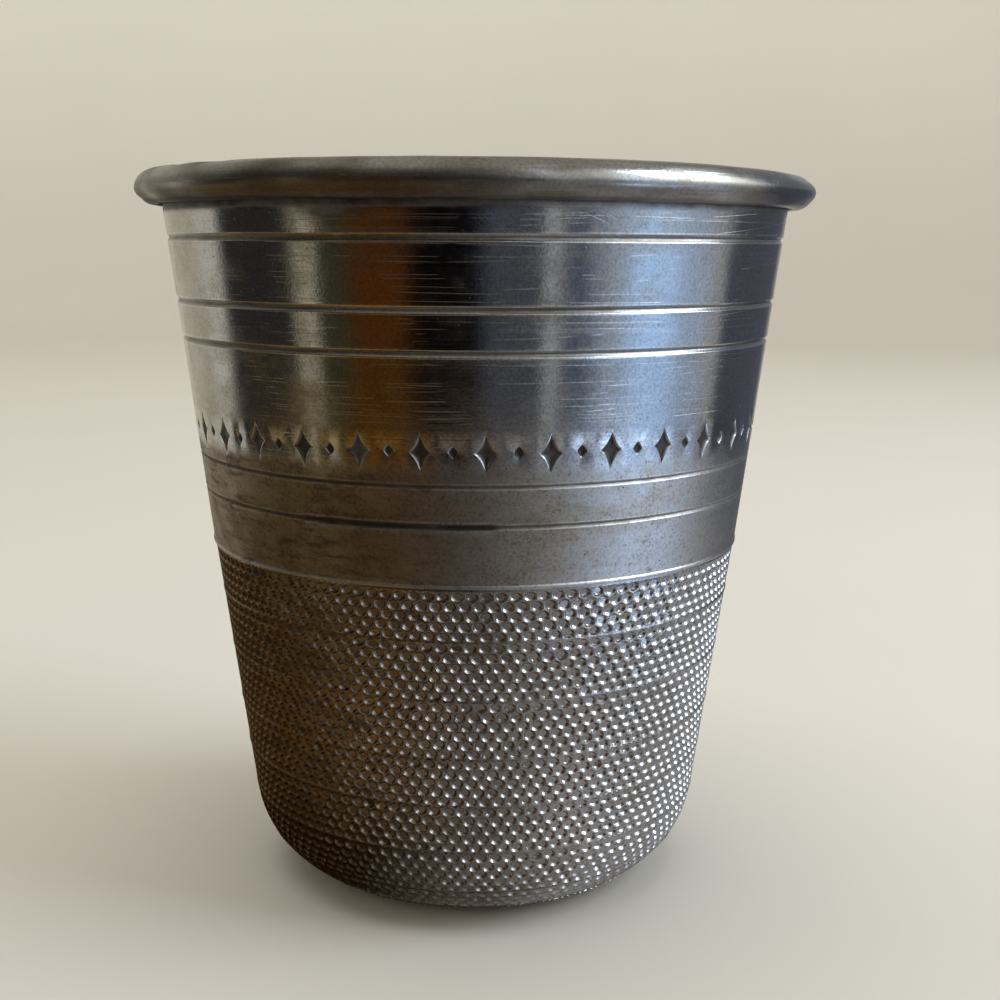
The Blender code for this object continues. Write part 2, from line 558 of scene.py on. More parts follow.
    def pits(self, g: Graph) -> Sock:
        """Small dark pits: a random share of scattered points, in two sizes.

        Args:
            g: The material's graph.

        Returns:
            How much of a pit each place is.
        """
        found = []
        share = 1.0 - self.pit_share
        for size, reach in self.pit_sizes:
            place = g.place((size, size, size), (0.3, 0.7, 1.1))
            tint = g.node("ShaderNodeSeparateColor", {}, {"Color": g.spots(place, "Color")}, "Red")
            found.append(tint.rise(share, share + 0.02) * g.spots(place, "Distance").rise(reach, reach * 0.5))
        return reduce(Sock.most, found)

    def scratches(self, g: Graph) -> Sock:
        """Fine scratches: level lines of noise squeezed into thin planes, level or tipped, broken by patches.

        Args:
            g: The material's graph.

        Returns:
            How much of a scratch each place is.
        """
        found = []
        for tip, fine, keep in self.scratch_runs:
            drawn = g.noise((26.0, 26.0, fine), 0.0, 0.5, turn=(tip, -0.6 * tip, 0.0))
            patch = g.noise((210.0, 210.0, 330.0), 2.0, 0.5, turn=(tip, 0.4, 0.0))
            found.append(abs(drawn - 0.5).rise(0.030, 0.008) * patch.rise(keep - 0.05, keep + 0.05))
        return reduce(Sock.most, found)


@dataclass(frozen=True)
class Plain:
    """A matt paper sweep with a faint mottle, a little paler up its wall."""

    name: str
    floor: Colour
    wall: Colour
    mottle: float = 0.05
    roughness: float = 0.7

    def material(self) -> bpy.types.Material:
        """Build the surface's node tree.

        Returns:
            The new material.
        """
        g = Graph(self.name)
        cloud = g.noise((14.0, 14.0, 14.0), 3.0, 0.5)
        tone = g.mix(g.axis("Z").rise(0.0, 0.28), self.floor, self.wall)
        g.set(Base_Color=g.mix(self.mottle * cloud, tone, BLACK), Roughness=self.roughness, Specular_IOR_Level=0.0)
        return g.material


def finished(piece: bpy.types.Object, finish: bpy.types.Material, slot: Slot, *nodes: str) -> bpy.types.Object:
    """Give a piece its finish and its body, and hide the solids that it stands for.

    Args:
        piece: The new piece.
        finish: Its material.
        slot: Not used.
        nodes: Names of the solids that it replaces.

    Returns:
        The piece.
    """
    piece.data.materials.clear()
    piece.data.materials.append(finish)
    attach(piece, "root")
    if nodes:
        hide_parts(*nodes)
    return piece


@dataclass(frozen=True)
class Groove:
    """A line scribed round the wall: its height, width, depth and how dark its bottom is."""

    height: float
    width: float
    depth: float
    film_and_shade: float

    def profile(self, height: Array, widen: Array) -> Array:
        """Cut depth: full at the middle, falling as 1 - |t|^1.2 to the edge, with a low burr outside it.

        Args:
            height: Row heights.
            widen: How much wider the cut is at each column.

        Returns:
            How far the face lies inside the plain wall.
        """
        t = np.abs(height - self.height) / (self.width / 2 * widen)
        cut = self.depth * np.clip(1.0 - t**1.2, 0.0, 1.0)
        return cut - 0.09 * self.depth * hump(t, 1.12, 0.14)

    def rows(self) -> Array:
        """Heights that follow the cut closely."""
        side = np.array([0.35, 0.7, 1.0, 1.1, 1.25, 1.6])
        return self.height + self.width / 2 * np.concatenate([-side[::-1], [0.0], side])


@dataclass(frozen=True)
class Ring:
    """One ring of a struck mark: its share of the outline and of the depth, its marks, and if its edge is sharp."""

    scale: float
    sink: float
    film_and_shade: float
    wear_and_light: float
    crisp: bool = False


@dataclass
class SmoothWall:
    """Tapered wall with its scribed lines, punched border and rolled lip, one bent sheet.

    A star or a lozenge is its half width, half height and power. A dent is its angle round the cup, its angle round
    the lip, the half widths of both and its depth.
    """

    sizes: CupSizes
    columns: int = 512
    cells: int = 64
    border_low: float = 0.0342
    border_high: float = 0.0372
    punch_depth: float = 0.00017
    punch_brim: float = 0.00001
    star: tuple[float, float, float] = (0.00078, 0.00128, 0.74)
    lozenge: tuple[float, float, float] = (0.00034, 0.00042, 1.25)
    punches: tuple[Ring, ...] = (
        Ring(1.12, -1.0, 0.0, 0.2),
        Ring(1.0, 0.0, 0.15, 0.7),
        Ring(0.80, 0.75, 0.95, 0.0),
        Ring(0.42, 1.0, 1.0, 0.0),
    )
    ridge: float = 0.00008
    ridge_at: float = 0.00011
    ridge_half: float = 0.00013
    bright_half: float = 0.00014
    neck_half: float = 0.00022
    blotch_at: float = -0.41
    blotch_half: float = 0.10
    blotch_low: float = 0.0011
    blotch_high: float = 0.0003
    gash_from: float = -0.56
    gash_to: float = 0.075
    gash_end: float = 0.006
    stain_top: float = 0.0405
    stain_fall: float = 0.007
    wobble: float = 0.000012
    under_press: float = 0.00026
    top_press: float = 0.00025
    worn_at: float = 1.30
    worn_half: float = 0.70
    bore_rows: int = 16
    curl_rows: int = 40
    wall_rows: int = 22
    inner_rows: int = 14
    seam_pitch: float = 0.00004
    neck_pitch: float = 0.00011
    border_clear: float = 0.00005
    grooves: tuple[Groove, ...] = (
        Groove(0.04921, 0.00050, 0.00017, 0.55),
        Groove(0.04478, 0.00048, 0.00017, 0.55),
        Groove(0.04204, 0.00046, 0.00016, 0.55),
        Groove(0.03344, 0.00034, 0.00011, 0.50),
        Groove(0.03075, 0.00034, 0.00011, 0.50),
    )
    dents: tuple[tuple[float, float, float, float, float], ...] = (
        (-1.178, 1.12, 0.011, 0.13, 0.00019),
        (-1.105, 1.18, 0.011, 0.13, 0.00019),
        (-0.93, 1.60, 0.050, 0.45, 0.00010),
        (-0.74, 1.35, 0.060, 0.35, 0.00008),
        (-0.50, 0.75, 0.045, 0.30, 0.00006),
        (-0.28, 0.95, 0.030, 0.25, 0.00005),
        (0.22, 0.60, 0.040, 0.30, 0.00005),
        (0.74, 0.85, 0.030, 0.30, 0.00005),
        (1.35, 0.55, 0.018, 0.40, 0.00008),
        (2.10, 1.10, 0.050, 0.40, 0.00009),
        (2.75, 0.70, 0.030, 0.35, 0.00008),
        (-2.40, 1.00, 0.045, 0.40, 0.00009),
        (-1.80, 0.60, 0.030, 0.30, 0.00007),
    )

    @property
    def angles(self) -> Array:
        """Column angles."""
        return turns(self.columns)

    @property
    def side(self) -> Array:
        """Sideways share of each column's direction, from -1 at the left to 1 at the right."""
        return np.sin(self.angles)

    def face(self, heights: Array) -> tuple[Array, ...]:
        """Outer face: the cone less each groove's cut, with a low ridge at the seam and a slight wobble.

        Args:
            heights: Row heights.

        Returns:
            Points of the rows, and their marks.
        """
        cut = np.zeros((len(heights), self.columns))
        film_and_shade = np.zeros_like(cut)
        for groove in self.grooves:
            gash = self.gash(groove)
            profile = groove.profile(heights[:, None], 1.0 + 0.45 * gash)
            cut = cut + profile * (1.0 + 0.12 * ripple(self.angles, groove.height, 5, 8, 9) + 1.1 * gash)
            share = np.clip(profile / groove.depth, 0.0, 1.0)
            film_and_shade = np.maximum(film_and_shade, np.clip(share * (groove.film_and_shade + 2.2 * gash), 0.0, 1.0))
        edge = heights[:, None] - self.sizes.seam_height
        wave = self.wobble * ripple(self.angles, heights[:, None], 3, 10, 7, 160.0)
        ridge = self.ridge * hump(edge, self.ridge_at, self.ridge_half, 4)
        radius = self.sizes.wall(heights)[:, None] - cut + ridge + wave
        neck = self.sizes.neck_height
        # Painted shade in the crease under the lip, heavier on the left, away from the window lamp.
        neck_shade = np.clip(0.75 - 0.45 * self.side + 0.3 * ripple(self.angles, 0.0, 21, 9, 12), 0.2, 1.0)
        film_and_shade = np.maximum(film_and_shade, hump(heights, neck, self.neck_half)[:, None] * neck_shade)
        # A dark blotch just under the lip at the front left.
        patch = np.clip(0.9 + 0.5 * ripple(self.angles, 0.0, 22, 9, 40), 0.0, 1.0)
        dark_blotch = hump(self.angles, self.blotch_at, self.blotch_half) * patch
        film_and_shade = np.maximum(film_and_shade, dark_blotch * ease(heights, neck - self.blotch_low, neck - self.blotch_high)[:, None])
        wear_and_light = np.clip(-cut / 0.00001, 0.0, 0.5) + 0.9 * hump(edge, self.ridge_at, self.bright_half, 4)
        # Brown patina, heavier low down; its heavier left side, away from the window lamp, is painted shade.
        low = np.clip((self.stain_top - heights) / self.stain_fall, 0.0, 1.0)[:, None]
        patina_and_shade = (0.10 + 0.55 * low) * np.clip(0.55 - 0.75 * self.side, 0.05, 1.0)
        return polar(radius, self.angles, heights[:, None]), film_and_shade, wear_and_light, patina_and_shade

    def gash(self, groove: Groove) -> Array:
        """A stretch of the lowest line that is cut deep and black, by angle.

        Args:
            groove: The line asked about.

        Returns:
            Strength at each column, 0 on every other line.
        """
        if groove is not self.grooves[-1]:
            return np.zeros(self.columns)
        a, end = self.angles, self.gash_end
        reach = 1.0 / (1.0 + np.exp(-(a - self.gash_from) / end)) / (1.0 + np.exp((a - self.gash_to) / end))
        return reach * np.clip(0.85 + 0.3 * ripple(a, 0.0, 8, 8, 60), 0.2, 1.2)

    def lip(self) -> tuple[Array, ...]:
        """Curl over the wire: up the wall into the slit, round the bore, then back over the outside.

        The outside is a circle pressed flatter underneath and, on one side, on top, less its dents.

        Returns:
            Points of the rows, and their marks.
        """
        s = self.sizes
        middle, level = s.rim_radius - s.lip_radius, s.height - s.lip_radius
        bore = s.lip_radius - s.lip_sheet
        edge = s.neck_radius + s.lip_slit - middle
        start = TAU - math.acos((s.neck_radius - middle) / bore)
        inside = np.linspace(start, -math.acos(edge / bore), self.bore_rows)
        outside = np.linspace(-math.acos(edge / s.lip_radius), math.pi, self.curl_rows)
        turn = np.concatenate([inside, outside])[:, None]
        skin = (np.arange(len(turn)) >= self.bore_rows).astype(float)[:, None]
        reach = np.where(skin > 0, s.lip_radius, bore)
        push = np.zeros((len(turn), self.columns))
        for angle, at, wide, tall, depth in self.dents:
            away = (self.angles - angle + math.pi) % TAU - math.pi
            push = push + depth * np.exp(-((away / wide) ** 2) - (((turn - at) / tall) ** 2))
        press = self.under_press * (1.0 - 0.22 * self.side) * ease(turn, 0.05, -0.70)
        worn = self.top_press * hump(self.angles, self.worn_at, self.worn_half)
        press = press + worn * ease(turn, 0.05, 0.85) * ease(turn, 3.0, 2.2)
        uneven = 0.000012 * (1.0 + ripple(self.angles, turn * s.lip_radius, 11, 16, 40, 2500.0))
        total = reach - skin * (press + push + np.clip(uneven, 0.0, None))
        points = polar(middle + total * np.cos(turn), self.angles, level + total * np.sin(turn))
        # Painted shade: dark film in the curl's bore and in the crease under the lip, heavier on the left, away from
        # the window lamp.
        hidden = np.concatenate([np.ones(self.bore_rows), ease(outside, -0.65, -1.45)])[:, None]
        hidden = hidden * np.where(skin > 0, np.clip(0.60 - 0.55 * self.side, 0.05, 1.0), 1.0)
        left = np.clip(0.5 - 0.7 * self.side, 0.0, 1.0)
        patch = ripple(self.angles, turn * s.lip_radius, 27, 14, 30, 2200.0)
        under = np.clip((0.55 - turn) / 0.8, 0.0, 1.0)
        # Here stain is painted shade under the curl and on the left, plus random patches.
        stain = 0.05 + 0.40 * under * (0.35 + left) + (0.05 + 0.12 * left) * patch
        film_and_shade = np.clip(hidden + skin * (push / 0.00025 + np.clip(stain, 0.0, 1.0)), 0.0, 1.0)
        # Brown patina; its heavier left side and underside are painted shade.
        patina_and_shade = np.clip(0.14 + 0.38 * left + 0.20 * under * (0.4 + left) + 0.25 * patch, 0.0, 1.0)
        return points, film_and_shade, skin * 0.35 * hump(turn, 0.9, 0.8), patina_and_shade

    def inner(self) -> tuple[Array, ...]:
        """Inner face from the lip down to the seam: the cone set in by the sheet.

        Returns:
            Points of the rows, and their marks.
        """
        s = self.sizes
        heights = np.linspace(s.neck_height, s.seam_height, self.inner_rows)[:, None]
        wave = 0.00001 * ripple(self.angles, heights, 17, 10, 9, 300.0)
        points = polar(s.wall(heights) - s.sheet + wave, self.angles, heights)
        deep = np.clip((s.collar_top + 0.004 - heights) / 0.008, 0.0, 1.0)
        # Wear 0.6 all over the inside: painted light, a paler tone that lifts the shade inside the cup.
        return points, deep * 0.05, 0.6, 0.05

    def border(self, shell: Shell, low: Array, high: Array) -> None:
        """Punched border: stars and lozenges in turn, each nested rings from a shared cell edge down to a floor.

        Args:
            shell: The piece being built.
            low: Indices of the row under the border.
            high: Indices of the row over it.
        """
        step = self.columns // self.cells
        share = np.arange(1, step) / step
        heights = self.border_low + (self.border_high - self.border_low) * share
        side_angle = self.angles[::step][:, None]
        side = shell.add(polar(self.sizes.wall(heights)[None, :], side_angle, heights[None, :]))
        start = np.arange(self.cells)[:, None] * step
        across = np.arange(step + 1)[None, :]
        top = high[(start + across) % self.columns]
        bottom = low[(start + across) % self.columns]
        right = np.roll(side, -1, axis=0)
        half = (step - 1) // 2
        loop = [right[:, half:], top[:, ::-1], side[:, ::-1], bottom, right[:, :half]]
        border = np.concatenate(loop, axis=1)
        middle = (self.border_low + self.border_high) / 2
        radius = self.sizes.wall(middle)
        wide, tall = TAU * radius / self.cells / 2, (self.border_high - self.border_low) / 2
        x, y = self.frame_loop(step, wide, tall)
        turn = np.arctan2(y, x)[None, :]
        odd = (np.arange(self.cells) % 2)[:, None]
        shape = (np.where(odd, small, large) for small, large in zip(self.lozenge, self.star))
        outline = superellipse(turn, *shape)
        centre = side_angle + math.pi / self.cells
        draw = np.random.default_rng(14)
        deep = self.punch_depth * draw.uniform(0.82, 1.12, (self.cells, 1))
        lean = draw.normal(0.0, 0.00004, (self.cells, 2))
        rings = []
        for ring in self.punches:
            reach = outline * ring.scale
            sunk = ring.sink * (deep if ring.sink > 0 else self.punch_brim)
            up = middle + reach * np.sin(turn) + lean[:, 1:]
            round_ = centre + (reach * np.cos(turn) + lean[:, :1]) / radius
            rings.append(shell.add(polar(self.sizes.wall(up) - sunk, round_, up), ring.film_and_shade, ring.wear_and_light))
        floor = polar(radius - deep[:, 0], centre[:, 0] + lean[:, 0] / radius, middle + lean[:, 1])
        shell.cells(border, rings, shell.add(floor, 1.0))

    def frame_loop(self, step: int, wide: float, tall: float) -> tuple[Array, Array]:
        """Offsets of a cell's edge points from its centre, from the middle of the right side round by the top.

        Args:
            step: Columns to a cell.
            wide: Half its width.
            tall: Half its height.

        Returns:
            Offsets across and up.
        """
        share = np.arange(1, step) / step * 2 - 1
        half = (step - 1) // 2
        ends = np.arange(step + 1) / step * 2 - 1
        x = [np.ones(step - 1 - half), ends[::-1], -np.ones(step - 1), ends, np.ones(half)]
        y = [share[half:], np.ones(step + 1), share[::-1], -np.ones(step + 1), share[:half]]
        return np.concatenate(x) * wide, np.concatenate(y) * tall

    def build(self) -> bpy.types.Object:
        """Join face, border, lip and inner face into one closed sheet.

        Returns:
            The piece.
        """
        s = self.sizes
        heights = [groove.rows() for groove in self.grooves]
        heights += [np.linspace(s.seam_height, s.neck_height, self.wall_rows)]
        heights += [s.seam_height + self.seam_pitch * np.arange(1, 9)]
        heights += [s.neck_height - self.neck_pitch * np.arange(1, 11)]
        rows = np.unique(np.round(np.concatenate(heights), 6))
        below = np.append(rows[rows < self.border_low - self.border_clear], self.border_low)
        above = np.append(self.border_high, rows[rows > self.border_high + self.border_clear])
        shell = Shell()
        lower = shell.add(*self.face(below))
        upper = shell.add(*self.face(above))
        lip = shell.add(*self.lip())
        inner = shell.add(*self.inner())
        shell.grid(lower)
        self.border(shell, lower[-1], upper[0])
        shell.grid(np.concatenate([upper, lip, inner, lower[:1]]))
        return shell.build("wall_and_lip", 50.0)


@dataclass
class DimpledEnd:
    """Lower shell: passes of struck dimples down the side and round the shoulder, a collar above, a foot below."""

    sizes: CupSizes
    pitch: float = 0.00096
    row_pitch: float = 0.00071
    first_row: float = 0.00052
    passes: tuple[int, ...] = (5, 6, 6, 5, 5, 5, 4, 4)
    groups: tuple[tuple[str, int, int], ...] = (("side_upper", 0, 2), ("side_lower", 2, 5), ("shoulder", 5, 8))
    crater: float = 0.000438
    squash: float = 0.92
    depth: float = 0.00018
    swell: float = 0.000040
    shelf: float = 0.00004
    segments: int = 12
    rings: tuple[Ring, ...] = (
        Ring(1.0, 0.0, 0.12, 0.6, True),
        Ring(0.85, 0.53, 0.25, 0.7),
        Ring(0.64, 0.94, 0.20, 0.5, True),
    )
    edge_squash: float = 0.86
    pass_gap: float = 0.16
    edge_reach: float = 0.58
    zig_first: tuple[float, ...] = (-0.52, -0.50, -0.48, -0.50)
    zig_between: tuple[float, ...] = (-2 / 3, -1 / 2, -1 / 3, -1 / 2)
    zig_last: tuple[float, ...] = (0.48, 0.50, 0.52, 0.50)
    zig_swell: tuple[float, ...] = (1.0, 0.45, 1.0, 0.45)
    seam_swell: tuple[float, ...] = (2.4, -1.0)
    side_swell: float = 0.9
    wander: float = 0.00005
    chamfer: float = 0.0001
    lining_start: float = 0.0012
    lining_rows: int = 14
    foot_rows: int = 6

    @property
    def tangent(self) -> float:
        """Angle on the shoulder where the straight side meets it.

        Returns:
            The angle in radians, from level.
        """
        s = self.sizes
        across, up = self.top[0] - s.foot_radius, self.top[1] - s.shoulder_radius
        return math.atan2(up, across) - math.acos(s.shoulder_radius / math.hypot(across, up))

    @property
    def top(self) -> tuple[float, float]:
        """Radius and height of the skin's top edge."""
        s = self.sizes
        return s.seam_radius - s.seam_step, s.seam_height - self.shelf

    @property
    def bend(self) -> tuple[float, float]:
        """Radius and height where the straight side meets the shoulder."""
        s, turn = self.sizes, self.tangent
        return s.foot_radius + s.shoulder_radius * math.cos(turn), s.shoulder_radius * (1 + math.sin(turn))

    @property
    def full(self) -> float:
        """Whole distance down the skin to the flat of the foot."""
        return math.dist(self.top, self.bend) + self.sizes.shoulder_radius * (math.pi / 2 + self.tangent)

    def skin(self, along: Array, inset: float = 0.0) -> tuple[Array, Array, Array, Array]:
        """Radius, height and outward normal at a distance down the skin: straight side, then round shoulder.

        Args:
            along: Distances from the top edge.
            inset: How far inside the skin.

        Returns:
            Radius, height, and the normal's two parts.
        """
        s, turn, end = self.sizes, self.tangent, self.bend
        straight = math.dist(end, self.top)
        share = np.clip(along / straight, None, 1.0)
        lean = turn - np.clip((along - straight) / s.shoulder_radius, 0.0, math.pi / 2 + turn)
        out, up = np.cos(lean), np.sin(lean)
        radius = self.top[0] + (end[0] - self.top[0]) * share + s.shoulder_radius * (out - math.cos(turn))
        height = self.top[1] + (end[1] - self.top[1]) * share + s.shoulder_radius * (up - math.sin(turn))
        return radius - inset * out, height - inset * up, out, up

    def at(self, angle: Array, along: Array, sunk: Array) -> Array:
        """Points on the skin, sunk along its normal, with rows that wander a little round the cup.

        Args:
            angle: Angles round the cup.
            along: Distances down the skin.
            sunk: Depths below it.

        Returns:
            The points.
        """
        wander = self.wander * np.clip(along / 0.002, 0.0, 1.0) * ripple(angle, along, 33, 9, 6, 260.0)
        radius, height, out, up = self.skin(along + wander)
        return polar(radius - sunk * out, angle, height - sunk * up)

    def zigzag(self, shell: Shell, angle: Array, along: Array, raised: Any) -> Array:
        """Land points between rows of cells, swollen by the strikes round them.

        Args:
            shell: The piece being built.
            angle: Angles round the cup.
            along: Distances down the skin.
            raised: How swollen each point is.

        Returns:
            The points' indices.
        """
        # Film and patina heavier on the left are partly painted shade; wear shows less there.
        patina_and_shade = self.patina_and_shade(angle)
        film_and_shade = np.clip(0.05 + 0.15 * patina_and_shade + 0.10 * ripple(angle, along, 31, 10, 90, 4000.0), 0.0, 0.7)
        lift = -self.swell * np.broadcast_to(raised, angle.shape)
        return shell.add(self.at(angle, along, lift), film_and_shade, 0.40 * (1.0 - patina_and_shade), patina_and_shade)

    def patina_and_shade(self, angle: Array) -> Array:
        """Browner on the left, away from the window lamp: brown patina and painted shade."""
        return np.clip(0.50 - 0.75 * np.sin(angle + 0.15), 0.05, 0.95)

    def strike(self, shell: Shell, first: int, count: int, seed: int) -> tuple[Loop, Loop]:
        """One pass of the dimpling wheel: staggered rows of six-sided cells, each a round cup of nested rings.

        Args:
            shell: The piece being built.
            first: Number of the first row.
            count: How many rows.
            seed: Seed of the pass.

        Returns:
            The upper and the lower loop.
        """
        draw = np.random.default_rng(seed)
        q = self.row_pitch
        lines = self.first_row + q * (np.arange(first, first + count) + self.pass_gap * seed)
        radii = self.skin(lines)[0]
        n = int(round(TAU * radii.mean() / self.pitch))
        step = TAU / n
        phase = draw.uniform(0.0, 1.0)
        quarter = np.arange(4) / 4
        start = -math.pi + step * (np.arange(n)[:, None] + quarter + phase)
        edges = {0: self.zig_first, count: self.zig_last}
        zig, zig_angle = [], []
        for g in range(count + 1):
            angle = start + step * 0.5 * (g % 2)
            along = lines[min(g, count - 1)] + np.array(edges.get(g, self.zig_between)) * q
            zig.append(self.zigzag(shell, angle, np.broadcast_to(along, angle.shape), self.zig_swell))
            zig_angle.append(angle)
        for g in range(count):
            edge = g in (0, count - 1)
            self.row(shell, zig[g], zig[g + 1], zig_angle[g][:, 0], lines[g], radii[g], g % 2, edge, draw)
        loops = []
        for end, along in ((0, lines[0] - self.edge_reach * q), (-1, lines[-1] + self.edge_reach * q)):
            angle = zig_angle[end].ravel()
            raised = np.tile(self.seam_swell, angle.size // 2)
            ring = self.zigzag(shell, angle, np.full(angle.size, along), raised)
            shell.strip(*((zig[-1].ravel(), ring) if end else (ring, zig[0].ravel())))
            loops.append((ring, angle))
        return loops[0], loops[1]

    def row(self, shell: Shell, over: Array, under: Array, angle: Array, along: float, radius: float,
            odd: int, edge: bool, draw: np.random.Generator) -> None:
        """One row of cells between two zigzags.

        Args:
            shell: The piece being built.
            over: Indices of the zigzag above.
            under: Indices of the zigzag below.
            angle: Angles of the cells' centres.
            along: The row's distance down the skin.
            radius: The row's radius.
            odd: Whether the row is set half a step on.
            edge: Whether the row is at a pass's edge, where cups are smaller.
            draw: The pass's random draw.
        """
        n = len(angle)
        side = self.zigzag(shell, angle + math.pi / n, np.full(n, along), self.side_swell)
        left, low = np.roll(over, 1, axis=0), under if odd else np.roll(under, 1, axis=0)
        loop = [side, over[:, 2], over[:, 1], over[:, 0], left[:, 3], left[:, 2], np.roll(side, 1)]
        loop += [low[:, 0], low[:, 1], low[:, 2], low[:, 3], np.roll(low[:, 0], -1)]
        border = np.stack(loop, axis=1)
        reach = self.crater * draw.uniform(0.95, 1.0, n)[:, None]
        tall = self.squash * (self.edge_squash if edge else 1.0)
        deep = self.depth * draw.uniform(0.70, 1.15, n)[:, None]
        shift = draw.uniform(-0.00001, 0.00001, (n, 2))
        tip = draw.normal(0.0, 0.07, (n, 2))
        turn = TAU * np.arange(self.segments)[None, :] / self.segments
        centre, level = (angle + shift[:, 0] / radius)[:, None], (along + shift[:, 1])[:, None]
        slant = tip[:, :1] * np.cos(turn) + tip[:, 1:] * np.sin(turn)
        rings = []
        for ring in self.rings:
            round_ = centre + reach * ring.scale * np.cos(turn) / radius
            down = level - reach * tall * ring.scale * np.sin(turn)
            points = self.at(round_, down, deep * ring.sink * (1.0 + slant))
            # Film, wear and patina of each ring follow the painted shade of the left side.
            patina_and_shade = self.patina_and_shade(round_)
            rings.append(shell.add(points, ring.film_and_shade * patina_and_shade, ring.wear_and_light * (1.0 - patina_and_shade), patina_and_shade, ring.crisp))
        floor = self.at(centre[:, 0], level[:, 0], deep[:, 0])
        shell.cells(border, rings, shell.add(floor, 0.04, 0.0, self.patina_and_shade(centre[:, 0])))

    def struck(self, shell: Shell, numbers: Sequence[int]) -> tuple[Loop, Loop]:
        """Several passes one under another, stitched where their counts differ.

        Args:
            shell: The piece being built.
            numbers: The passes' numbers, from the top.

        Returns:
            The upper and the lower loop.
        """
        first = sum(self.passes[: numbers[0]])
        made: list[tuple[Loop, Loop]] = []
        for number in numbers:
            made.append(self.strike(shell, first, self.passes[number], number))
            if len(made) > 1:
                shell.stitch(made[-2][1], made[-1][0])
            first += self.passes[number]
        return made[0][0], made[-1][1]

    def edge_line(self, number: int) -> float:
        """Distance down the skin of the upper edge of a pass, or of the last lower edge.

        Args:
            number: The pass's number.

        Returns:
            The distance.
        """
        rows = sum(self.passes[:number])
        if number == 0:
            return self.first_row - self.edge_reach * self.row_pitch
        return self.first_row + self.row_pitch * (rows - 1 + self.pass_gap * (number - 1) + self.edge_reach)

    def inside(self, start: float, end: float, rows: int) -> list[tuple[float, float]]:
        """Inner face between two distances down the skin."""
        radius, height, _, _ = self.skin(np.linspace(start, end, rows), self.sizes.sheet)
        return list(zip(radius.tolist(), height.tolist()))

    def collar(self) -> list[tuple[float, float]]:
        """Shelf under the wall's edge and the collar that goes up inside the wall.

        Returns:
            Radius and height of the path's points.
        """
        s = self.sizes
        rest, top = self.top[1], s.collar_top
        low, high = s.wall(rest) - s.sheet - s.seat_gap, s.wall(top) - s.sheet - s.seat_gap
        cut = self.chamfer
        path = [self.top, (low, rest), (high - cut, top - cut), (high - 2 * cut, top)]
        path += [(high - s.collar_sheet + cut, top), (high - s.collar_sheet, top - cut)]
        return path + [(low - s.collar_sheet, rest - s.sheet / 2)]

    def foot(self, start: float) -> list[tuple[float, float]]:
        """Turned-in foot: the bore, its small edge, and the skin back up to the last row.

        Args:
            start: Distance down the skin of the last row.

        Returns:
            Radius and height of the path's points.
        """
        s = self.sizes
        bore = s.foot_radius - s.foot_ledge
        radius, height, _, _ = self.skin(np.linspace(self.full, start, self.foot_rows))
        path = [(bore, s.sheet), (bore, self.chamfer), (bore + self.chamfer, 0.0)]
        return path + list(zip(radius.tolist(), height.tolist()))

    def build(self, name: str, first: int, end: int) -> bpy.types.Object:
        """One closed length of the shell: struck skin outside, plain turned lining inside.

        Args:
            name: The piece's name.
            first: Number of its first pass.
            end: Number after its last pass.

        Returns:
            The piece.
        """
        shell = Shell()
        upper, lower = self.struck(shell, range(first, end))
        start, stop = self.edge_line(first), self.edge_line(end)
        last = end == len(self.passes)
        path = [] if first else self.collar()
        path += self.inside(start if first else self.lining_start, self.full if last else stop, self.lining_rows)
        plain = len(path)
        path += self.foot(stop + self.chamfer) if last else []
        line = np.array(path)
        film_and_shade = np.where(np.arange(len(path)) < plain, 0.03, 0.55)[:, None]
        # Wear 0.6 on the lining: painted light that lifts the shade inside the cup.
        lining = shell.add(polar(line[:, :1], upper[1][None, :], line[:, 1:]), film_and_shade, 0.6, 0.06)
        shell.grid(lining)
        shell.strip(upper[0], lining[0])
        shell.stitch((lining[-1], upper[1]), lower)
        return shell.build(f"dimpled_{name}", 60.0)


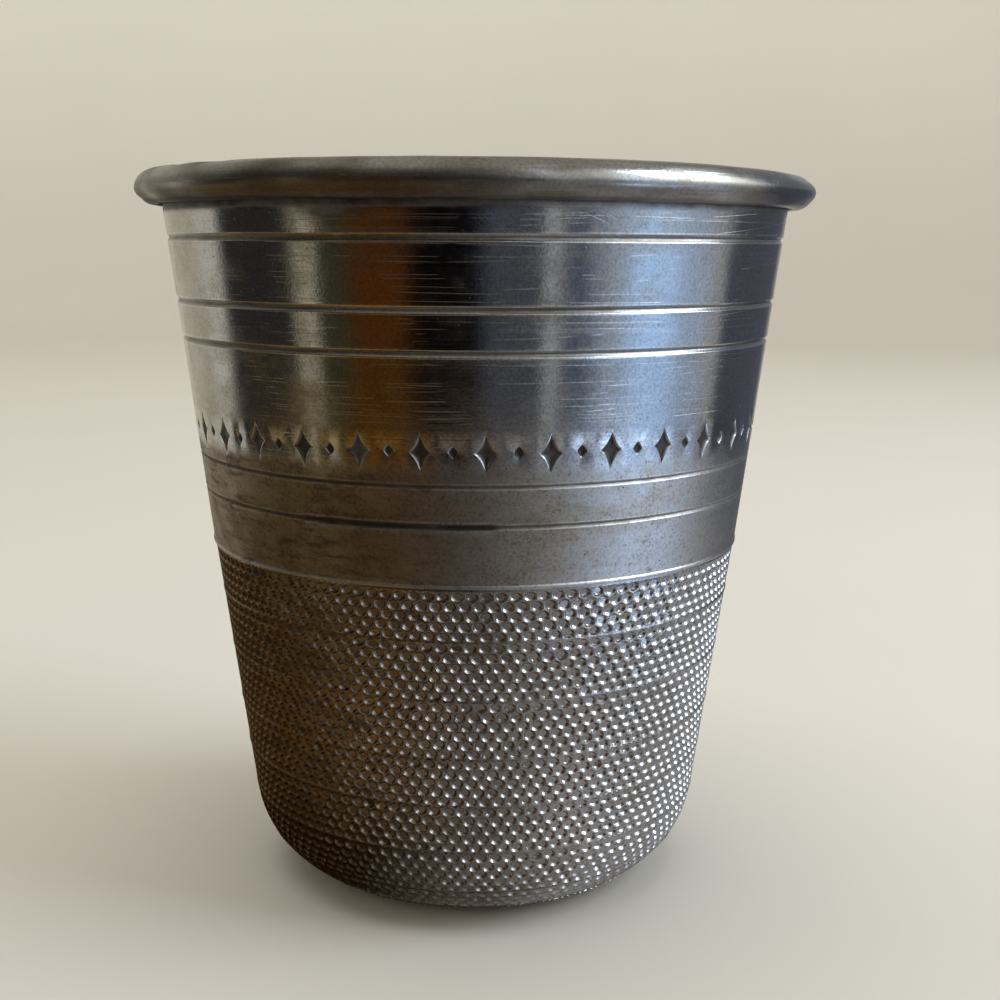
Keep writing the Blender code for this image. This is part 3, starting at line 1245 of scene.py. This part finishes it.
@dataclass
class Bottom:
    """Base disc and the solder rings inside the cup."""

    sizes: CupSizes
    columns: int = 160

    @property
    def angles(self) -> Array:
        """Column angles."""
        return turns(self.columns)

    def disc(self) -> bpy.types.Object:
        """Flat disc with a faint set of turned rings: height waves as a cosine of radius.

        Returns:
            The piece.
        """
        s = self.sizes
        radius = np.linspace(0.0004, s.foot_radius, 40)
        top, bottom = s.disc_bottom + s.disc_thickness, s.disc_bottom
        rings = 0.00001 * np.cos(radius / 0.0011 * TAU)
        upper = np.stack([radius, top - 0.00001 + rings], axis=1)
        lower = np.stack([radius, np.full_like(radius, bottom)], axis=1)
        path = np.concatenate([upper, lower[::-1]])
        shell = Shell()
        film_and_shade = np.clip((path[:, :1] - 0.006) / 0.010, 0.0, 0.2) + 0.03
        # Wear 0.5 on the disc: painted light that lifts the shade at the bottom of the cup.
        rows = shell.add(polar(path[:, :1], self.angles[None, :], path[:, 1:]), film_and_shade, 0.5)
        shell.grid(rows)
        poles = shell.add(np.array([[0.0, 0.0, top], [0.0, 0.0, bottom]]), 0.05)
        shell.fan(rows[0][None], poles[:1])
        shell.fan(rows[-1][None], poles[1:])
        return shell.build("base_plate", 40.0)

    def bead(self, name: str, corners: Array, seed: int) -> bpy.types.Object:
        """Hand-run solder: a closed section carried round the axis, swelling and thinning by a ripple.

        Args:
            name: The piece's name.
            corners: Radius and height of the section's points, in order.
            seed: Seed of the ripple.

        Returns:
            The piece.
        """
        middle = corners.mean(axis=0)
        swell = np.clip(0.93 + 0.05 * ripple(self.angles, 0.0, seed, 14, 40), 0.8, 1.0)
        radius = middle[0] + (corners[:, :1] - middle[0]) * swell
        height = middle[1] + (corners[:, 1:] - middle[1]) * swell
        shell = Shell()
        rows = shell.add(polar(radius, self.angles[None, :], height), 0.15)
        shell.strip(rows, np.roll(rows, -1, axis=0))
        return shell.build(name, 40.0)

    def seam_bead(self) -> bpy.types.Object:
        """Solder over the collar's top edge: a hollow-faced triangle.

        Returns:
            The piece.
        """
        s = self.sizes
        low, rise, wide = s.collar_top + s.seat_gap, s.solder_rise, s.collar_sheet
        share = np.linspace(0.0, 1.0, 7)[1:-1]
        face = s.wall(low) - s.sheet - s.seat_gap
        lean = s.slope * rise
        hollow = np.stack([face + lean - (wide + lean) * share, low + rise * (1 - share) ** 1.7], axis=1)
        corners = np.concatenate([[[face, low]], [[face + lean, low + rise]], hollow, [[face - wide, low]]])
        return self.bead("seam_bead", corners, 41)

    def base_bead(self) -> bpy.types.Object:
        """Solder round the base disc: its outer side follows the shoulder's inner bend.

        Returns:
            The piece.
        """
        s = self.sizes
        bend = s.shoulder_radius - s.sheet - s.seat_gap
        top, low = s.disc_bottom + s.disc_thickness, s.disc_bottom + s.seat_gap
        first, last = (math.asin((height - s.shoulder_radius) / bend) for height in (low, top))
        turn = np.linspace(first, last, 6)
        outer = np.stack([s.foot_radius + bend * np.cos(turn), s.shoulder_radius + bend * np.sin(turn)], axis=1)
        inner = s.foot_radius + s.seat_gap
        corners = np.concatenate([outer, [[inner, top - 0.0001], [inner, low]]])
        return self.bead("base_bead", corners, 43)


@dataclass(frozen=True)
class Card:
    """One even tone of the painted reflections between two directions, in degrees from the viewer; gaps blend."""

    start: float
    end: float
    tone: Colour


@dataclass(frozen=True)
class Zone:
    """Cards that take over between two distances from the axis, or two heights; the first goes round the back."""

    low: float
    high: float
    cards: tuple[Card, ...]
    dim: float = 0.0


@dataclass(frozen=True)
class PaintedRoomReflection:
    """Painted room reflections: glowing room tones that only reflections see, on a mat near the floor that turns up
    into a drum, toned by direction.
    """

    inner: float = 0.0150
    reach: float = 0.50
    curve: float = 0.20
    top: float = 1.0
    lift: float = 0.0010
    # Painted contact shadow close round the foot, as reflections see it.
    contact_shadow: Colour = (0.015, 0.012, 0.009)
    contact_weight: float = 0.8
    contact_span: tuple[float, float] = (0.018, 0.012)
    dim_span: tuple[float, float] = (0.18, 0.115)
    # Painted shade of the floor round the foot: dark on the left, lit towards the window lamp on the right.
    shade: tuple[Card, ...] = (
        Card(155, -130, (0.10, 0.080, 0.058)), Card(-95, -32, (0.030, 0.018, 0.007)),
        Card(-4, 4, (0.22, 0.20, 0.178)), Card(28, 80, (0.43, 0.43, 0.44)), Card(100, 128, (0.55, 0.54, 0.53)),
    )
    # Painted reflections of the floor by distance from the axis, with a painted window glare on the right.
    mat: tuple[Zone, ...] = (
        Zone(0.024, 0.035, (
            Card(155, -130, (0.25, 0.21, 0.16)), Card(-95, -35, (0.30, 0.185, 0.072)),
            Card(-4, 4, (0.25, 0.225, 0.20)), Card(28, 80, (0.43, 0.43, 0.44)),
            Card(100, 128, (0.55, 0.54, 0.53)),
        )),
        Zone(0.042, 0.058, (
            Card(155, -130, (0.20, 0.17, 0.13)), Card(-95, -35, (0.13, 0.086, 0.044)),
            Card(-4, 4, (0.13, 0.118, 0.105)), Card(28, 80, (0.27, 0.265, 0.27)),
            Card(100, 128, (0.58, 0.57, 0.57)),
        )),
        Zone(0.070, 0.087, (
            Card(175, -170, (0.30, 0.26, 0.20)), Card(-128, -122, (0.22, 0.17, 0.11)),
            Card(-95, -60, (0.56, 0.43, 0.18)), Card(-42, -25, (0.27, 0.135, 0.018)),
            Card(-15, -11, (0.20, 0.145, 0.10)), Card(6, 10, (0.26, 0.235, 0.21)),
            Card(28, 32, (0.46, 0.47, 0.50)), Card(52, 70, (2.05, 2.75, 4.10)),
            Card(92, 97, (0.29, 0.30, 0.34)), Card(124, 128, (0.23, 0.23, 0.24)),
        )),
        Zone(0.086, 0.122, (
            Card(165, -120, (0.60, 0.555, 0.46)), Card(-114, -104, (0.74, 0.72, 0.66)),
            Card(-99, -66, (0.034, 0.032, 0.034)), Card(-63, -56.5, (0.51, 0.47, 0.37)),
            Card(-54.5, -45, (0.048, 0.052, 0.030)), Card(-41, -26, (0.100, 0.034, 0.008)),
            Card(-19, 0, (0.002, 0.002, 0.003)), Card(7, 23, (0.085, 0.10, 0.13)),
            Card(25, 29, (0.49, 0.53, 0.57)), Card(31.5, 38, (0.11, 0.14, 0.20)),
            Card(49, 51, (0.50, 0.60, 0.75)), Card(60, 71, (0.72, 1.08, 1.70)),
            Card(82, 88, (0.52, 0.66, 0.92)), Card(95, 99, (0.47, 0.49, 0.53)),
            Card(104, 150, (0.09, 0.10, 0.13)),
        ), dim=0.32),
    )
    # Painted room tones up the drum, with a painted window on the right.
    drum: tuple[Zone, ...] = (
        Zone(0.03, 0.11, (
            Card(168, -132, (0.44, 0.41, 0.35)), Card(-84, 0, (0.060, 0.060, 0.060)),
            Card(14, 18, (0.30, 0.31, 0.34)), Card(26, 36, (0.75, 0.78, 0.82)),
            Card(44, 98, (1.55, 1.74, 2.00)), Card(113, 150, (0.19, 0.21, 0.24)),
        )),
        Zone(0.45, 0.85, (
            Card(140, -120, (0.31, 0.285, 0.235)), Card(-90, -10, (0.23, 0.215, 0.18)),
            Card(4, 10, (0.34, 0.33, 0.305)), Card(36, 102, (0.95, 1.02, 1.10)),
        )),
    )

    def material(self) -> bpy.types.Material:
        """Painted reflections: glow by direction round the axis, by distance over the mat and by height up the drum.

        Returns:
            The new material.
        """
        g = Graph("painted_room_reflection")
        x, y, z = (g.axis(name) for name in "XYZ")
        turn = g.node("ShaderNodeMath", {"operation": "ARCTAN2"}, {0: x, 1: 0.0 - y}) / TAU + 0.5
        away = (x * x + y * y) ** 0.5
        tone = self.ring(g, turn, self.shade)
        for zone in self.mat:
            tint = self.ring(g, turn, zone.cards)
            if zone.dim:
                tint = g.mix(zone.dim * away.rise(*self.dim_span), tint, BLACK)
            tone = g.mix(away.rise(zone.low, zone.high), tone, tint)
        # Painted contact shadow round the foot.
        tone = g.mix(self.contact_weight * away.rise(*self.contact_span), tone, self.contact_shadow)
        for zone in self.drum:
            tone = g.mix(z.rise(zone.low, zone.high), tone, self.ring(g, turn, zone.cards))
        g.set(Emission_Color=tone, Emission_Strength=1.0, Base_Color=BLACK, Specular_IOR_Level=0.0)
        g.material.cycles.emission_sampling = "NONE"
        return g.material

    def ring(self, g: Graph, turn: Sock, cards: Sequence[Card]) -> Sock:
        """Tone by direction: a ramp with a stop at each card's two edges, the first card split at the back.

        Args:
            g: The material's graph.
            turn: Direction from 0 to 1.
            cards: The ring's cards, the one behind first.

        Returns:
            The tone.
        """
        behind, *rest = cards
        spans = [Card(-180.0, behind.end, behind.tone), *rest, Card(behind.start, 180.0, behind.tone)]
        stops = [(edge / 360.0 + 0.5, card.tone) for card in spans for edge in (card.start, card.end)]
        return g.node("ShaderNodeValToRGB", {"stops": stops}, {"Fac": turn}, "Color")

    def build(self) -> None:
        """Make the mat and the drum, hidden from all but reflections."""
        shell, _ = sweep((self.inner, 0.1), self.reach, self.curve, self.top, self.lift, 12, 96)
        drum = shell.build("painted_room_reflection", 60.0)
        drum.data.materials.append(self.material())
        drum.visible_camera = drum.visible_diffuse = drum.visible_shadow = False


def sweep(flat: Sequence[float], reach: float, curve: float, top: float, lift: float,
          rows: int, columns: int) -> tuple[Shell, Array]:
    """A floor that turns up into a wall all round: a flat, a quarter circle and an upright, turned on the axis.

    Args:
        flat: Radii of the flat's own rows.
        reach: Radius where the quarter circle starts.
        curve: The quarter circle's radius.
        top: Height of the upright's top.
        lift: How far the whole is raised.
        rows: Rows of the quarter circle.
        columns: Columns all round.

    Returns:
        The shell and its rows of indices.
    """
    bend = np.linspace(0.0, math.pi / 2, rows)
    radius = np.concatenate([flat, reach + curve * np.sin(bend), [reach + curve]])
    height = lift + np.concatenate([np.zeros(len(flat)), curve * (1.0 - np.cos(bend)), [top]])
    angle = TAU * np.arange(columns) / columns
    shell = Shell()
    made = shell.add(polar(radius[:, None], angle[None, :], height[:, None]))
    shell.grid(made)
    return shell, made


@dataclass(frozen=True)
class Lamp:
    """A soft rectangular light: its place, the point that it faces, its size, its power in watts and its colour."""

    name: str
    at: Place
    aim: Place
    size: tuple[float, float]
    power: float
    colour: Colour
    reflected: bool = True

    def build(self) -> None:
        """Add the light."""
        data = bpy.data.lights.new(self.name, "AREA")
        data.shape = "RECTANGLE"
        data.size, data.size_y = self.size
        data.energy = self.power
        data.color = self.colour
        lamp = bpy.data.objects.new(self.name, data)
        lamp.location = self.at
        lamp.rotation_euler = (Vector(self.aim) - Vector(self.at)).to_track_quat("-Z", "Y").to_euler()
        lamp.visible_camera = False
        lamp.visible_glossy = self.reflected
        bpy.context.collection.objects.link(lamp)


@dataclass
class Studio:
    """Pale floor and backdrop, soft lights and the camera."""

    lens: float = 50.7
    eye: Place = (0.00195, -0.11017, 0.04874)
    pitch: float = 0.1788
    roll: float = 0.0059
    floor_radius: float = 0.62
    sweep: float = 0.30
    wall_top: float = 1.15
    glow: float = 0.40
    glow_tone: Colour = (1.0, 0.96, 0.87)
    paper: Plain = Plain("pale_floor", (0.65, 0.62, 0.565), (0.88, 0.85, 0.79))
    lamps: tuple[Lamp, ...] = (
        Lamp("window", (0.46, -0.07, 0.33), (0.0, 0.0, 0.03), (0.34, 0.40), 2.2, (0.80, 0.90, 1.0)),
        Lamp("ceiling", (-0.1, 0.1, 0.9), (0.0, 0.05, 0.0), (0.9, 0.9), 4.6, (1.0, 0.98, 0.94), reflected=False),
    )

    def camera(self) -> None:
        """Camera at the photo's place: level heading, tipped down and very slightly rolled."""
        data = bpy.data.cameras.new("camera")
        data.lens = self.lens
        data.sensor_width = 36.0
        data.clip_start = 0.005
        data.clip_end = 20.0
        eye = bpy.data.objects.new("camera", data)
        bpy.context.collection.objects.link(eye)
        turn = Matrix.Rotation(math.pi / 2 - self.pitch, 4, "X") @ Matrix.Rotation(self.roll, 4, "Z")
        eye.matrix_world = Matrix.Translation(self.eye) @ turn
        bpy.context.scene.camera = eye

    def backdrop(self) -> None:
        """Pale paper floor that sweeps up into a wall all round, closed at the middle."""
        shell, rows = sweep((0.05,), self.floor_radius, self.sweep, self.wall_top, 0.0, 24, 128)
        shell.fan(rows[:1], shell.add(np.zeros((1, 3))))
        floor = shell.build("floor", 60.0)
        floor.data.materials.append(self.paper.material())

    def world(self) -> None:
        """Even, dim room light."""
        room = bpy.data.worlds.new("room")
        room.use_nodes = True
        back = room.node_tree.nodes["Background"]
        back.inputs["Strength"].default_value = self.glow
        back.inputs["Color"].default_value = (*self.glow_tone, 1.0)
        bpy.context.scene.world = room

    def build(self) -> None:
        """Set the stage."""
        self.camera()
        self.backdrop()
        self.world()
        PaintedRoomReflection().build()
        for lamp in self.lamps:
            lamp.build()
        bpy.context.scene.view_settings.view_transform = "Standard"


def main() -> None:
    """Build the cup piece by piece, then the stage."""
    logging.basicConfig(level=logging.INFO, format="%(message)s")
    sizes = CupSizes()
    smooth = Pewter("turned_pewter").material()
    dimpled = Pewter("dimpled_pewter", brown=(0.21, 0.132, 0.054), gloss=0.20, satin=0.22, brushed=0.0,
                     satin_below=0.06, pit_share=0.10, tarnish_rough=0.0, relief=0.00002).material()
    plain = Pewter("base_pewter", gloss=0.34, satin=0.42).material()
    solder = Pewter("soft_solder", clean=(0.52, 0.52, 0.50), gloss=0.32).material()
    wire = Pewter("tinned_wire", clean=(0.52, 0.51, 0.50), gloss=0.36).material()
    end = DimpledEnd(sizes)
    bottom = Bottom(sizes)
    finished(SmoothWall(sizes).build(), smooth, Slot.SMOOTH, "upper_wall")
    for group in end.groups:
        finished(end.build(*group), dimpled, Slot.DIMPLED, "dimpled_end")
    finished(bottom.disc(), plain, Slot.BASE, "base_disc")
    finished(bottom.seam_bead(), solder, Slot.SOLDER, "seam_solder")
    finished(bottom.base_bead(), solder, Slot.SOLDER, "base_solder")
    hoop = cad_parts["rim_wire"]
    hoop.data.materials.clear()
    hoop.data.materials.append(wire)
    Studio().build()


if __name__ == "__main__":
    main()
